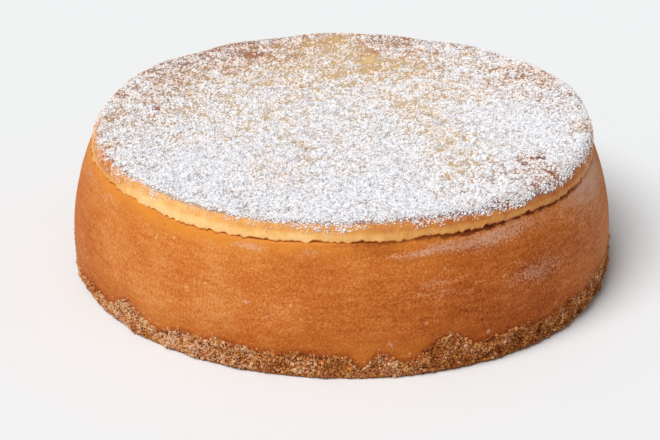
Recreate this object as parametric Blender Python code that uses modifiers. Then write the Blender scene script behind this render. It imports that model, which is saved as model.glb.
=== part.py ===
"""A whole baked cheesecake: set custard that has risen over its tin, on a base of pressed biscuit crumbs.

Units are metres and +Z is up. The origin is the middle of the flat underside. Seen from -Y, the camera side,
+X is to the right. Angles run round the cake from +X towards +Y, so the side nearest the camera is at 270 degrees.

Both solids are turned: a half section is spun round Z, and then one smooth displacement, the same for both,
makes the cake as uneven as a baked one. Because they share it, the gap between them stays the same.
"""

import math

import bmesh
import bpy

# Driving dimensions of the cake.
FOOT_RADIUS = 0.1148  # where the crumb base meets the plate
BELLY_RADIUS = 0.1157  # the widest part, as wide as the springform tin
BELLY_HEIGHT = 0.012
SEAM_RADIUS = 0.1065  # where the side skin ends under the risen lip
SEAM_HEIGHT = 0.0542
SHRINK_POWER = 2.25  # how late the side curves in as it goes up
CREST_RADIUS = 0.1000  # the highest ring of the top
CREST_HEIGHT = 0.0628
DISH_DEPTH = 0.0014  # how far the middle of the top has sunk below the crest
BASE_HEIGHT = 0.0108  # mean height of the crumb base at the side
FOOT_ROUNDING = 0.0012
GAP = 0.0003  # between the crumb base and the custard
SEGMENTS = 120  # facets round the cake

# Radii and heights of the rings of points in the two half sections.
TOP_RINGS = (0.0, 0.018, 0.038, 0.056, 0.072, 0.086, CREST_RADIUS)
JOINT_RINGS = (0.106, 0.096, 0.0)  # where the custard rests on the crumbs
CRUMB_LEVELS = (BASE_HEIGHT, 0.7 * BASE_HEIGHT, 0.4 * BASE_HEIGHT, FOOT_ROUNDING)
SIDE_STEPS = 9
LIP_STEPS = 6

# The lip that rose over the tin's edge, measured from the seam.
LIP_SETBACK = 0.0001  # the lip's outermost point lies this far inside the seam's radius
LIP_NOTCH = 0.0008  # depth of the crease between skin and lip
CREASE_HALF_HEIGHT = 0.0005

# The top leans up towards the back right.
TOP_LEAN = 0.0012
TOP_LEAN_ANGLE = 15.0

# Where each kind of unevenness begins and ends.
LINE_FADE = 0.85 * FOOT_RADIUS  # the crumb line wanders outside this radius only
SEAM_FADE = 0.90 * CREST_RADIUS  # the seam wanders outside this radius
RIM_FADE = 0.75 * CREST_RADIUS  # the rim rises outside this radius
RIM_FULL_HEIGHT = CREST_HEIGHT - 0.0020  # the rim's rise is whole from this height up
SWELL_FULL_RADIUS = 0.60 * CREST_RADIUS  # the top's swell grows from nothing in the middle to this radius
AXIS_RADIUS = 1.0e-6  # closer to the axis than this, a point has no direction and stays where it is

# Slow waves round the cake: (how many, height, angle of a high point in degrees).
SEAM_WAVES = ((3, 0.0004, 292.0), (5, 0.0005, 285.0), (9, 0.0003, 220.0), (17, 0.0002, 12.0))
BASE_WAVES = ((4, 0.0007, 40.0), (7, 0.0009, 292.0), (13, 0.0007, 100.0), (22, 0.0006, 222.0))
ROUND_WAVES = ((2, 0.0004, 305.0), (3, 0.0003, 205.0), (5, 0.0002, 30.0))
TOP_WAVES = ((3, 0.0004, 250.0), (5, 0.0003, 80.0))

# Places with their own rise, each (angle, half width in degrees, rise): where the seam and the rim of the top
# stand higher or lower, and where the crumbs were pressed higher or the custard ran lower.
SEAM_RISES = ((296.0, 7.0, -0.0008), (315.0, 8.0, 0.0013), (345.0, 9.0, -0.0008))
RIM_RISES = (
    (16.0, 9.0, 0.0014),
    (36.0, 13.0, 0.0016),
    (68.0, 11.0, -0.0013),
    (121.0, 8.0, 0.0007),
    (134.0, 7.0, -0.0008),
    (156.0, 9.0, 0.0008),
)
BASE_RISES = (
    (199.0, 8.0, -0.0050),
    (208.5, 6.0, -0.0022),
    (213.5, 3.0, -0.0017),
    (217.0, 2.5, -0.0022),
    (222.0, 2.5, 0.0026),
    (230.0, 2.5, -0.0018),
    (233.5, 5.0, -0.0032),
    (241.5, 3.5, -0.0022),
    (246.5, 3.0, 0.0016),
    (262.5, 3.0, 0.0024),
    (274.0, 1.6, -0.0044),
    (278.5, 2.2, 0.0024),
    (283.5, 4.0, -0.0041),
    (290.5, 5.0, 0.0039),
    (296.5, 2.0, -0.0020),
    (301.0, 3.0, -0.0013),
    (309.0, 3.5, 0.0016),
    (337.0, 11.0, 0.0032),
    (62.0, 7.0, 0.0030),
    (118.0, 6.0, -0.0030),
)

# Knobs of crumb that stand out of the base's edge: (how many, depth, angle). They slant as they go up.
CRUMB_KNOBS = ((23, 0.00025, 4.0), (37, 0.00020, 11.0))
KNOB_SLANT = 900.0  # degrees for each metre of height

MERGE_DISTANCE = 0.00001
SHARP_ANGLE = math.radians(50.0)

MATERIALS = {
    "custard": {"color": (0.50, 0.17, 0.035, 1.0), "roughness": 0.5},
    "crumb_base": {"color": (0.27, 0.12, 0.045, 1.0), "roughness": 0.9},
}


def smoothstep(low, high, value):
    """0 below low, 1 above high and a smooth rise between them."""
    share = min(max((value - low) / (high - low), 0.0), 1.0)
    return share * share * (3.0 - 2.0 * share)


def waves(parts, degrees):
    """The sum of cosine waves round the cake at this angle."""
    return sum(size * math.cos(math.radians(count * (degrees - peak))) for count, size, peak in parts)


def rises(parts, degrees):
    """The sum of bell-shaped rises round the cake at this angle."""
    total = 0.0
    for centre, half_width, size in parts:
        away = (degrees - centre + 180.0) % 360.0 - 180.0
        total += size * math.exp(-((away / half_width) ** 2))
    return total


def side_radius(height):
    """The cake's radius at a height: nearly upright from the foot, then drawn in towards the seam."""
    below = max(1.0 - height / BELLY_HEIGHT, 0.0)
    above = max((height - BELLY_HEIGHT) / (SEAM_HEIGHT - BELLY_HEIGHT), 0.0)
    foot = (BELLY_RADIUS - FOOT_RADIUS) * below**3
    shrink = (BELLY_RADIUS - SEAM_RADIUS) * min(above, 1.0) ** SHRINK_POWER
    return BELLY_RADIUS - foot - shrink


def top_height(radius):
    """The height of the top: a shallow dish inside the crest."""
    share = min(radius / CREST_RADIUS, 1.0)
    return CREST_HEIGHT - DISH_DEPTH * (1.0 - share**4)


def lip_section():
    """The lip from the crest out, down and back to the seam: a quarter of an oval, with a notch under it."""
    outer = SEAM_RADIUS - LIP_SETBACK
    lowest = SEAM_HEIGHT + CREASE_HALF_HEIGHT
    points = []
    for step in range(1, LIP_STEPS + 1):
        turn = math.radians(90.0 * step / LIP_STEPS)
        radius = CREST_RADIUS + (outer - CREST_RADIUS) * math.sin(turn)
        height = lowest + (CREST_HEIGHT - lowest) * math.cos(turn)
        points.append((radius, height))
    points.append((SEAM_RADIUS - LIP_NOTCH, SEAM_HEIGHT))
    return points


def custard_section():
    """The custard's half section, from the middle of the top round the outside to the middle underneath."""
    top = [(radius, top_height(radius)) for radius in TOP_RINGS]
    high, low = SEAM_HEIGHT - CREASE_HALF_HEIGHT, BASE_HEIGHT + GAP
    levels = [high + (low - high) * step / SIDE_STEPS for step in range(SIDE_STEPS + 1)]
    side = [(side_radius(height), height) for height in levels]
    underside = [(radius, low) for radius in JOINT_RINGS]
    return top + lip_section() + side + underside


def crumb_section():
    """The crumb base's half section, from the middle of its top round the outside to the middle underneath."""
    top = [(radius, BASE_HEIGHT) for radius in reversed(JOINT_RINGS)]
    side = [(side_radius(height), height) for height in CRUMB_LEVELS]
    foot = [(FOOT_RADIUS - FOOT_ROUNDING, 0.0), (0.0, 0.0)]
    return top + side + foot


def uneven(point, knobs):
    """Moves a point of the turned cake to where it lies on the real, uneven one."""
    radius = math.hypot(point.x, point.y)
    if radius < AXIS_RADIUS:
        return
    degrees = math.degrees(math.atan2(point.y, point.x)) % 360.0
    height = point.z

    # The line between crumbs and custard wanders, near the side only, and stays put at the foot and the seam.
    line = waves(BASE_WAVES, degrees) + rises(BASE_RISES, degrees)
    at_line = min(height / BASE_HEIGHT, (SEAM_HEIGHT - height) / (SEAM_HEIGHT - BASE_HEIGHT))
    line *= max(at_line, 0.0) * smoothstep(LINE_FADE, FOOT_RADIUS, radius)

    # The seam and the top wander together, the top leans, and its rim has rises of its own.
    lift = smoothstep(BASE_HEIGHT, SEAM_HEIGHT, height)
    lean = TOP_LEAN * math.cos(math.radians(degrees - TOP_LEAN_ANGLE)) * radius / CREST_RADIUS
    below_crest = 1.0 - smoothstep(SEAM_HEIGHT, CREST_HEIGHT, height)
    seam = waves(SEAM_WAVES, degrees) + rises(SEAM_RISES, degrees) * below_crest
    seam *= smoothstep(SEAM_FADE, SEAM_RADIUS, radius)
    swell = waves(TOP_WAVES, degrees) * smoothstep(0.0, SWELL_FULL_RADIUS, radius)
    rim = rises(RIM_RISES, degrees) * smoothstep(RIM_FADE, CREST_RADIUS, radius)
    rim *= smoothstep(SEAM_HEIGHT, RIM_FULL_HEIGHT, height)
    new_height = height + line + lift * (lean + seam + swell) + rim

    # The outline follows the side's curve at the new height, and is not quite round.
    scale = side_radius(new_height) / side_radius(height) if height < SEAM_HEIGHT else 1.0
    scale *= 1.0 + waves(ROUND_WAVES, degrees) / FOOT_RADIUS
    if knobs and 0.0 < height < BASE_HEIGHT:
        scale *= 1.0 + waves(CRUMB_KNOBS, degrees + KNOB_SLANT * height) / FOOT_RADIUS

    point.x *= scale
    point.y *= scale
    point.z = new_height


def turned_mesh(name, section, diagonals):
    """A closed mesh made by spinning a half section round Z with a Screw modifier, cut into triangles."""
    profile = bpy.data.meshes.new(name + "_profile")
    profile.from_pydata(
        [(radius, 0.0, height) for radius, height in section],
        [(index, index + 1) for index in range(len(section) - 1)],
        [],
    )
    carrier = bpy.data.objects.new(name + "_profile", profile)
    bpy.context.scene.collection.objects.link(carrier)
    screw = carrier.modifiers.new("turn", "SCREW")
    screw.steps = screw.render_steps = SEGMENTS
    screw.use_merge_vertices = True
    screw.merge_threshold = MERGE_DISTANCE
    graph = bpy.context.evaluated_depsgraph_get()
    mesh = bpy.data.meshes.new_from_object(carrier.evaluated_get(graph))
    bpy.data.objects.remove(carrier)
    bpy.data.meshes.remove(profile)
    mesh.name = name
    faces = bmesh.new()
    faces.from_mesh(mesh)
    bmesh.ops.triangulate(faces, faces=faces.faces, quad_method=diagonals)
    faces.to_mesh(mesh)
    faces.free()
    return mesh


def add_layer(name, section, collection, diagonals, knobs=False):
    """One layer of the cake as a named object with its material."""
    mesh = turned_mesh(name, section, diagonals)
    for vertex in mesh.vertices:
        uneven(vertex.co, knobs)
    mesh.shade_smooth()
    mesh.set_sharp_from_angle(angle=SHARP_ANGLE)

    look = MATERIALS[name]
    material = bpy.data.materials.new(name)
    material.use_nodes = True
    shader = material.node_tree.nodes["Principled BSDF"]
    shader.inputs["Base Color"].default_value = look["color"]
    shader.inputs["Roughness"].default_value = look["roughness"]
    shader.inputs["Metallic"].default_value = 0.0
    mesh.materials.append(material)

    layer = bpy.data.objects.new(name, mesh)
    collection.objects.link(layer)
    return layer


def clear_scene():
    """Removes whatever the file already held."""
    for old in list(bpy.data.objects):
        bpy.data.objects.remove(old)


def main():
    clear_scene()
    collection = bpy.data.collections.new("baked_cheesecake")
    bpy.context.scene.collection.children.link(collection)
    # The two sections run opposite ways where the layers meet, so opposite diagonals make their facets match.
    add_layer("crumb_base", crumb_section(), collection, "ALTERNATE", knobs=True)
    add_layer("custard", custard_section(), collection, "FIXED")


main()
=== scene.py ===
# %% [markdown]
# # A whole baked cheesecake under icing sugar
# A plain, measured model of the cake already exists: one solid of set custard and one of pressed biscuit
# crumbs. This script dresses it with a browned skin, the pale lip that rose over the tin, crumbs and sugar,
# and adds a floor, light and a camera. Everything is worked out from the size of the model, so the dressed
# cake is as large as the real one.

# %% Load the measured model
import math
from itertools import product

import bpy
import numpy as np
from mathutils import Matrix, Vector


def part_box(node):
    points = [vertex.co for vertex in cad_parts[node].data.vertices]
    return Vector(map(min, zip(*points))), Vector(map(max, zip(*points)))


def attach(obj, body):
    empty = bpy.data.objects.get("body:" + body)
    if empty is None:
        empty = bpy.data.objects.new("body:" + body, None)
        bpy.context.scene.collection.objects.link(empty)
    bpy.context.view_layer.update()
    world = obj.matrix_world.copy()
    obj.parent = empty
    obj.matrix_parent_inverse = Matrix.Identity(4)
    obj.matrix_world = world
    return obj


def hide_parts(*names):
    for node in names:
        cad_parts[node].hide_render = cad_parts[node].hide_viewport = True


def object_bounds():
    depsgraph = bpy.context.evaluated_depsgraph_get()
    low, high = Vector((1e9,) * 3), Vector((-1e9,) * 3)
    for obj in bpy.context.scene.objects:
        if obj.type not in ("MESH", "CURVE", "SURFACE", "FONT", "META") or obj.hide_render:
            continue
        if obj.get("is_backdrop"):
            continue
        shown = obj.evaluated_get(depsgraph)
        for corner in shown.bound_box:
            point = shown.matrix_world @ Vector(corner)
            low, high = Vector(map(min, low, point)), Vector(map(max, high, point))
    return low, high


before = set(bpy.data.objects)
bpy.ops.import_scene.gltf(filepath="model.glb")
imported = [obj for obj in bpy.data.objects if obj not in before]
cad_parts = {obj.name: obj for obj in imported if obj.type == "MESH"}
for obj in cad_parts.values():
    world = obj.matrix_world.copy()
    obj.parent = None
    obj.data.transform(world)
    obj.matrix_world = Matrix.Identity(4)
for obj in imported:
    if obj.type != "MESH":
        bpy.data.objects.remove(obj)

MODEL_LOW, MODEL_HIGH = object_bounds()
scene = bpy.context.scene
print("nodes:", sorted(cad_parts))
print("size in mm:", [round(1000.0 * side, 1) for side in MODEL_HIGH - MODEL_LOW])

# %% [markdown]
# ## The cake's measures
# A baker thinks in millimetres, so every shape below is worked out in millimetres and turned into metres
# when its mesh is made. One number ties the two together: the measured width of the model over the width
# that these numbers give. The floor lies at the lowest point of the crumb base.

# %% Millimetres to metres
DESIGN_WIDTH = 231.2
UNIT = (MODEL_HIGH.x - MODEL_LOW.x) / DESIGN_WIDTH
FLOOR_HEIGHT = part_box("crumb_base")[0].z
print("one design millimetre is", round(1000.0 * UNIT, 4), "mm")

# %% The main radii and heights, in millimetres
FOOT_RADIUS = 114.8
BELLY_RADIUS = 115.7
BELLY_HEIGHT = 12.0
SEAM_RADIUS = 106.5
SEAM_HEIGHT = 54.2
SHRINK_POWER = 2.25
CREST_RADIUS = 100.0
CREST_HEIGHT = 62.8
DISH_DEPTH = 1.4
BASE_HEIGHT = 10.8
TOP_LEAN = 1.2
TOP_LEAN_ANGLE = 15.0
HIDDEN_RADIUS = 60.0
print("the side is", round(SEAM_HEIGHT - BASE_HEIGHT, 1), "mm of custard over", BASE_HEIGHT, "mm of crumbs")

# %% [markdown]
# ## Unevenness
# No cake is a lathe-turned disc. The seam under the lip wanders, the crumbs were pressed higher in some
# places than in others, and the top leans a little. Each is a sum of a few cosine waves round the cake and
# a few bell-shaped rises, so the outline stays smooth and closes on itself. A wave is written as its count,
# its height and the angle of a high point; a rise as its angle, its half width and its height. Angles are
# in degrees, from +X towards +Y, and the side nearest the camera is at 270.

# %% Waves and rises round the cake
COLUMNS = 1080
DEGREES = np.arange(COLUMNS) * 360.0 / COLUMNS
SEAM_WAVES = ((3, 0.4, 292.0), (5, 0.5, 285.0), (9, 0.3, 220.0), (17, 0.2, 12.0))
BASE_WAVES = ((4, 0.7, 40.0), (7, 0.9, 292.0), (13, 0.7, 100.0), (22, 0.6, 222.0))
ROUND_WAVES = ((2, 0.4, 305.0), (3, 0.3, 205.0), (5, 0.2, 30.0))
TOP_WAVES = ((3, 0.4, 250.0), (5, 0.3, 80.0))
SEAM_RISES = ((296, 7, -0.8), (315, 8, 1.3), (345, 9, -0.8))
RIM_RISES = (
    (16, 9, 1.4), (36, 13, 1.6), (68, 11, -1.3), (121, 8, 0.7), (134, 7, -0.8), (156, 9, 0.8),
)
BASE_RISES = (
    (199, 8, -5.0), (208.5, 6, -2.2), (213.5, 3, -1.7), (217, 2.5, -2.2), (222, 2.5, 2.6),
    (230, 2.5, -1.8), (233.5, 5, -3.2), (241.5, 3.5, -2.2), (246.5, 3, 1.6), (262.5, 3, 2.4),
    (274, 1.6, -4.4), (278.5, 2.2, 2.4), (283.5, 4, -4.1), (290.5, 5, 3.9), (296.5, 2, -2.0),
    (301, 3, -1.3), (309, 3.5, 1.6), (337, 11, 3.2), (62, 7, 3.0), (118, 6, -3.0),
)


def smoothstep(low, high, value):
    """0 below low, 1 above high, and between them 3 times the square less 2 times the cube of the share."""
    share = np.clip((value - low) / (high - low), 0.0, 1.0)
    return share * share * (3.0 - 2.0 * share)


def bell(away, half_width):
    """1 in the middle, and e to the minus square of the distance in half widths."""
    return np.exp(-((away / half_width) ** 2))


def waves(parts):
    """The sum of cosines round the cake: each part is their count, height and the angle of a high point."""
    return sum(size * np.cos(np.radians(count * (DEGREES - peak))) for count, size, peak in parts)


def rises(parts, degrees=DEGREES):
    """The sum of bells round the cake: each part is the angle of one, its half width and its height."""
    total = np.zeros_like(degrees)
    for centre, half_width, size in parts:
        away = (degrees - centre + 180.0) % 360.0 - 180.0
        total += size * bell(away, half_width)
    return total


def side_radius(height):
    """Nearly upright from the foot. Above the belly it falls with a power of the share of the way up."""
    below = np.clip(1.0 - height / BELLY_HEIGHT, 0.0, None)
    above = np.clip((height - BELLY_HEIGHT) / (SEAM_HEIGHT - BELLY_HEIGHT), 0.0, 1.0)
    foot = (BELLY_RADIUS - FOOT_RADIUS) * below**3
    return BELLY_RADIUS - foot - (BELLY_RADIUS - SEAM_RADIUS) * above**SHRINK_POWER


def top_height(radius):
    """A shallow dish: the crest's height, less its depth times 1 minus the 4th power of the share out."""
    share = np.clip(radius / CREST_RADIUS, 0.0, 1.0)
    return CREST_HEIGHT - DISH_DEPTH * (1.0 - share**4)


CRUMB_LINE = waves(BASE_WAVES) + rises(BASE_RISES)


def settle(radius, height):
    """Moves rows of points of the even, turned cake to where they lie on the uneven one.

    Near the side, heights follow the crumb line, fading out at the foot and at the seam. Above the base they
    also follow the seam, the rim, the swell of the top and its lean. All but the lean fade out towards the
    middle. The radius is scaled to keep the point on the side's curve at its new height, and by the waves
    that make the outline not quite round."""
    at_line = np.minimum(height / BASE_HEIGHT, (SEAM_HEIGHT - height) / (SEAM_HEIGHT - BASE_HEIGHT))
    line = CRUMB_LINE * np.clip(at_line, 0.0, None)
    line *= smoothstep(0.85 * FOOT_RADIUS, FOOT_RADIUS, radius)
    lift = smoothstep(BASE_HEIGHT, SEAM_HEIGHT, height)
    lean = TOP_LEAN * np.cos(np.radians(DEGREES - TOP_LEAN_ANGLE)) * radius / CREST_RADIUS
    below_crest = 1.0 - smoothstep(SEAM_HEIGHT, CREST_HEIGHT, height)
    seam = waves(SEAM_WAVES) + rises(SEAM_RISES) * below_crest
    seam *= smoothstep(0.9 * CREST_RADIUS, SEAM_RADIUS, radius)
    swell = waves(TOP_WAVES) * smoothstep(0.0, 0.6 * CREST_RADIUS, radius)
    rim = rises(RIM_RISES) * smoothstep(0.75 * CREST_RADIUS, CREST_RADIUS, radius)
    rim *= smoothstep(SEAM_HEIGHT, CREST_HEIGHT - 2.0, height)
    settled = height + line + lift * (lean + seam + swell) + rim
    scale = np.where(height < SEAM_HEIGHT, side_radius(settled) / side_radius(height), 1.0)
    scale *= 1.0 + waves(ROUND_WAVES) / FOOT_RADIUS
    turn = np.radians(DEGREES)
    return np.stack((radius * scale * np.cos(turn), radius * scale * np.sin(turn), settled), axis=-1)


print("crumb line", CRUMB_LINE.min().round(2), "to", CRUMB_LINE.max().round(2), "mm off its mean height")

# %% [markdown]
# ## Lumps
# Baked surfaces are lumpy at every size, from a swell as wide as a hand to a pore. A lattice of random
# numbers, blended smoothly between its corners, gives lumps of any chosen size, and the sum of two or three
# sizes looks grown rather than drawn. The random numbers are seeded, so each run is alike.

# %% Smooth random lumps
HASH = (73856093, 19349663, 83492791)
TABLE_SIZE = 65536


def lumps(places, size, seed):
    """Smooth random values from -1 to 1. Each corner of a cubic lattice of this size has a random number, and
    a place takes the eight round it, weighted by smooth shares of its distance to each."""
    table = np.random.default_rng(seed).uniform(-1.0, 1.0, TABLE_SIZE)
    corner = np.floor(places / size).astype(np.int64)
    share = places / size - corner
    share = share * share * (3.0 - 2.0 * share)
    total = np.zeros(places.shape[:-1])
    for step in product((0, 1), repeat=3):
        at = (corner + step) * HASH
        weight = np.where(step, share, 1.0 - share).prod(axis=-1)
        total += weight * table[(at[..., 0] ^ at[..., 1] ^ at[..., 2]) % TABLE_SIZE]
    return total


def layered(places, layers, start=0.0):
    """Lumps of several sizes added to a start: each layer is their height, their size and their seed."""
    return sum((height * lumps(places, size, seed) for height, size, seed in layers), start)


three_places = np.array(((0.0, 1.0, 2.0), (3.5, 4.0, 5.0), (6.0, 7.5, 8.0)))
print("lumps at three places:", lumps(three_places, 2.0, 1).round(2))

# %% [markdown]
# ## Turned surfaces
# The skin, the crust and the crumb core are turned shapes. Their points lie on a grid: round the cake, and
# along the half section, from the middle underneath, round the outside, to the middle of the top. One point
# closes each end. Relief moves the points along the surface's own direction, which is the cross product of
# the two grid steps.

# %% Grid of points, directions and the closed mesh
TIP_SHARE = 0.498


def even_rows(*values):
    """Rows of a grid that hold one value each, all the way round."""
    return np.repeat(np.array(values)[:, None], COLUMNS, axis=1)


def outward(grid):
    """The unit direction out of the surface: the step round crossed with the step along the section."""
    round_step = np.roll(grid, -1, axis=1) - np.roll(grid, 1, axis=1)
    direction = np.cross(round_step, np.gradient(grid, axis=0))
    return direction / np.linalg.norm(direction, axis=2, keepdims=True)


def between(grid, rows, columns):
    """Points of a grid between its rows and columns: the four round each place, mixed by their shares."""
    low_row = np.clip(np.floor(rows).astype(int), 0, grid.shape[0] - 2)
    low_column = np.floor(columns).astype(int)
    up, on = (rows - low_row)[:, None], (columns - low_column)[:, None]
    here, there = low_column % grid.shape[1], (low_column + 1) % grid.shape[1]
    lower = grid[low_row, here] * (1.0 - on) + grid[low_row, there] * on
    upper = grid[low_row + 1, here] * (1.0 - on) + grid[low_row + 1, there] * on
    return lower * (1.0 - up) + upper * up


def add_piece(name, points, faces, material, tiles=None, smooth=True):
    """A mesh object from points in millimetres, with smooth or flat faces. `tiles` has a flat place for each
    corner of each face, and becomes the map through which the finish can be stored as a picture."""
    mesh = bpy.data.meshes.new(name)
    mesh.from_pydata((points * UNIT).tolist(), [], faces)
    mesh.polygons.foreach_set("use_smooth", np.full(len(mesh.polygons), smooth))
    if tiles is not None:
        layer = mesh.uv_layers.new(name="OFBake")
        layer.data.foreach_set("uv", np.asarray(tiles, np.float32).ravel())
    mesh.materials.append(material)
    mesh.update()
    piece = bpy.data.objects.new(name, mesh)
    scene.collection.objects.link(piece)
    return piece


def disc_map(columns, span):
    """A flat map like a target, with a narrow margin. `span` says how far from its middle each row lies."""
    turn = np.arange(columns + 1) * 2.0 * math.pi / columns
    reach = 0.49 * span[:, None]
    flat = np.stack((0.5 + reach * np.cos(turn), 0.5 + reach * np.sin(turn)), axis=-1)
    return flat[:, :-1], flat[:, 1:]


def strip_map(columns, span, strips=4):
    """A flat map for a side: the band round the cake is cut into strips, laid one above the other with a
    narrow margin at each edge."""
    along = np.arange(columns) * strips / columns
    strip = np.floor(along)
    upward = (strip + 0.02 + 0.96 * span[:, None]) / strips
    left = np.stack(np.broadcast_arrays(along - strip, upward), axis=-1)
    return left, left + (strips / columns, 0.0)


def turned_piece(name, grid, material, span, layout):
    """A closed piece from a grid of rows up the section and columns round the cake. Neighbouring rows are
    joined by quads, and each end is closed by a fan of triangles to the middle of its row. On the flat map,
    the tip of such a triangle lies just beside the middle of its base."""
    rows, columns = grid.shape[:2]
    points = np.vstack((grid.reshape(-1, 3), grid[0].mean(axis=0), grid[-1].mean(axis=0)))
    column = np.arange(columns)
    following = (column + 1) % columns
    row = np.arange(rows - 1)[:, None] * columns
    above = row + columns
    quads = np.stack((row + column, row + following, above + following, above + column), axis=-1)
    last = (rows - 1) * columns
    foot = np.stack((following, column, np.full(columns, rows * columns)), axis=-1)
    head = np.stack((last + column, last + following, np.full(columns, rows * columns + 1)), axis=-1)
    faces = quads.reshape(-1, 4).tolist() + foot.tolist() + head.tolist()

    left, right = layout(columns, span)
    flat_quads = np.stack((left[:-1], right[:-1], right[1:], left[1:]), axis=2).reshape(-1, 2)
    flat_foot = np.stack((right[0], left[0], (left[0] + right[0]) * TIP_SHARE), axis=1).reshape(-1, 2)
    flat_head = np.stack((left[-1], right[-1], (left[-1] + right[-1]) * TIP_SHARE), axis=1).reshape(-1, 2)
    return add_piece(name, points, faces, material, np.vstack((flat_quads, flat_foot, flat_head)))


def keep(piece, name, values):
    """Keeps one number for each point of a piece, for its finish to read."""
    attribute = piece.data.attributes.new(name, "FLOAT", "POINT")
    attribute.data.foreach_set("value", values.astype(np.float32))


def keep_rows(piece, name, values):
    """Keeps one number for each point of a turned piece, and the means of the end rows for its two tips."""
    keep(piece, name, np.append(values.ravel(), (values[0].mean(), values[-1].mean())))


print("columns round the cake:", COLUMNS, "every", round(2.0 * math.pi * BELLY_RADIUS / COLUMNS, 2), "mm")

# %% [markdown]
# ## Finishes: how they are made
# Each finish is a small network of nodes that ends in one Principled shader. Colours are the hex codes that
# a colour picker shows, stored as sRGB, and one function turns them to the linear light that the renderer
# works in. Patterns read the object's own coordinates, in metres, so their scale is one over the size of
# the real feature. Each short function makes one kind of node, in the tree of the socket it is given.

# %% Colours, scales and nodes
def linear(code):
    """sRGB hex to linear light: a share over 12.92 up to 0.04045, and above that the share plus 0.055,
    over 1.055, to the power 2.4."""
    shares = np.array([int(code[place : place + 2], 16) for place in (1, 3, 5)]) / 255.0
    light = np.where(shares <= 0.04045, shares / 12.92, ((shares + 0.055) / 1.055) ** 2.4)
    return (*light.tolist(), 1.0)


def per(size):
    """The scale at which a pattern's features are this many millimetres across."""
    return 1.0 / (size * UNIT)


def add_node(tree, kind, inputs, take=None, **settings):
    """Adds a node with its own settings, gives each input a value or a link, and returns one output socket.
    Sockets are found by identifier or name."""
    made = tree.nodes.new("ShaderNode" + kind)
    for name, value in settings.items():
        setattr(made, name, value)
    for name, value in inputs.items():
        socket = next(one for one in made.inputs if name in (one.identifier, one.name))
        if isinstance(value, bpy.types.NodeSocket):
            tree.links.new(value, socket)
        else:
            socket.default_value = linear(value) if isinstance(value, str) else value
    return next((one for one in made.outputs if take in (None, one.identifier, one.name)), None)


def read(tree, name):
    """The number that a piece's points keep under this name."""
    return add_node(tree, "Attribute", {}, "Fac", attribute_name=name)


def noise(place, size, detail, roughness=0.5):
    """Soft random patches about this many millimetres across."""
    inputs = {"Vector": place, "Scale": per(size), "Detail": detail, "Roughness": roughness}
    return add_node(place.id_data, "TexNoise", inputs)


def cells(place, size, take):
    """Cells about this many millimetres across: each one's own colour, or the distance from its middle."""
    return add_node(place.id_data, "TexVoronoi", {"Vector": place, "Scale": per(size)}, take)


def ease(value, low, high, most=1.0, least=0.0, **settings):
    """Turns a value from low to high into one from least to most, and holds it there beyond them."""
    inputs = {"Value": value, "From Min": low, "From Max": high, "To Min": least, "To Max": most}
    return add_node(value.id_data, "MapRange", inputs, **settings)


def add_share(value, share, rest):
    """The value times its share, plus the rest."""
    inputs = {"Value": value, "Value_001": share, "Value_002": rest}
    return add_node(value.id_data, "Math", inputs, operation="MULTIPLY_ADD")


def ramp(share, *stops):
    """Colours along a ramp: each stop is a place from 0 to 1 and the hex code of its colour."""
    colour = add_node(share.id_data, "ValToRGB", {"Fac": share})
    elements = colour.node.color_ramp.elements
    for index, (place, code) in enumerate(stops):
        stop = elements[index] if index < 2 else elements.new(place)
        stop.position = place
        stop.color = linear(code)
    return colour


def blend(share, under, over, **settings):
    """Mixes two colours: only the first at share 0, only the second at share 1."""
    inputs = {"Factor_Float": share, "A_Color": under, "B_Color": over}
    return add_node(under.id_data, "Mix", inputs, "Result_Color", data_type="RGBA", **settings)


def bump(height, strength, depth, **settings):
    """Relief in the shading alone, this strong and this many metres deep."""
    inputs = {"Strength": strength, "Distance": depth, "Height": height}
    return add_node(height.id_data, "Bump", inputs, "Normal", **settings)


def new_finish(name):
    """An empty material with this name, its node tree, and the object's own coordinates."""
    material = bpy.data.materials.new(name)
    material.use_nodes = True
    tree = material.node_tree
    tree.nodes.clear()
    return material, tree, add_node(tree, "TexCoord", {}, "Object")


def finish_with(tree, **inputs):
    """Ends a finish: a Principled shader with these inputs, joined to the output."""
    named = {name.replace("_", " ").title().replace("Ior", "IOR"): value for name, value in inputs.items()}
    shader = add_node(tree, "BsdfPrincipled", named, "BSDF")
    add_node(tree, "OutputMaterial", {"Surface": shader})


print("a one millimetre pattern has scale", round(per(1.0)))

# %% [markdown]
# ## Baked custard skin
# The side is set egg and cream cheese that browned against a greased tin: a smooth, slightly satin skin,
# orange brown, with fine pores and a few pale and dark flecks. It is darker towards the bottom, and a thin
# painted shade darkens it just above the crumbs. Round the cake it is more golden on the lamp's side and
# darker at the front right, partly painted light and shade, and just under the lip a brighter orange band is
# painted light. Noises of three sizes mix its browns, and numbers kept on its points say where it is
# golden, glowing or dusted with fallen sugar.

# %% The skin's finish
skin_finish, tree, place = new_finish("baked_custard_skin")
level = add_node(tree, "Mapping", {"Vector": place, "Scale": (0.2, 0.2, 1.0)})
broad = noise(place, 22.0, 3.0)
streak = noise(level, 1.7, 4.0)
mottle = noise(place, 0.9, 3.0, 0.7)
rise = read(tree, "rise")
mixed = read(tree, "tone")
for pattern, share in ((broad, 0.55), (streak, 0.45), (mottle, 1.3)):
    mixed = add_share(pattern, share, mixed)
mixed = ease(mixed, 0.65, 1.65)
skin_colour = ramp(
    mixed, (0.0, "#742B0A"), (0.15, "#9E4A1B"), (0.50, "#C86E2C"), (0.68, "#D38341"), (0.90, "#DF9858")
)
low_down = ease(rise, 0.26, 0.0, 0.4)
# Painted shade: a dark reddish line on the skin just above the crumbs.
shade_at_crumbs = ease(rise, 0.055, 0.0, 0.65)
pale_fleck = ease(cells(place, 9.0, "Distance"), 0.09, 0.05, 0.5)
dark_speck = ease(cells(place, 6.5, "Distance"), 0.09, 0.05, 0.5)
powder = noise(place, 0.9, 3.0, 0.8)
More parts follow.
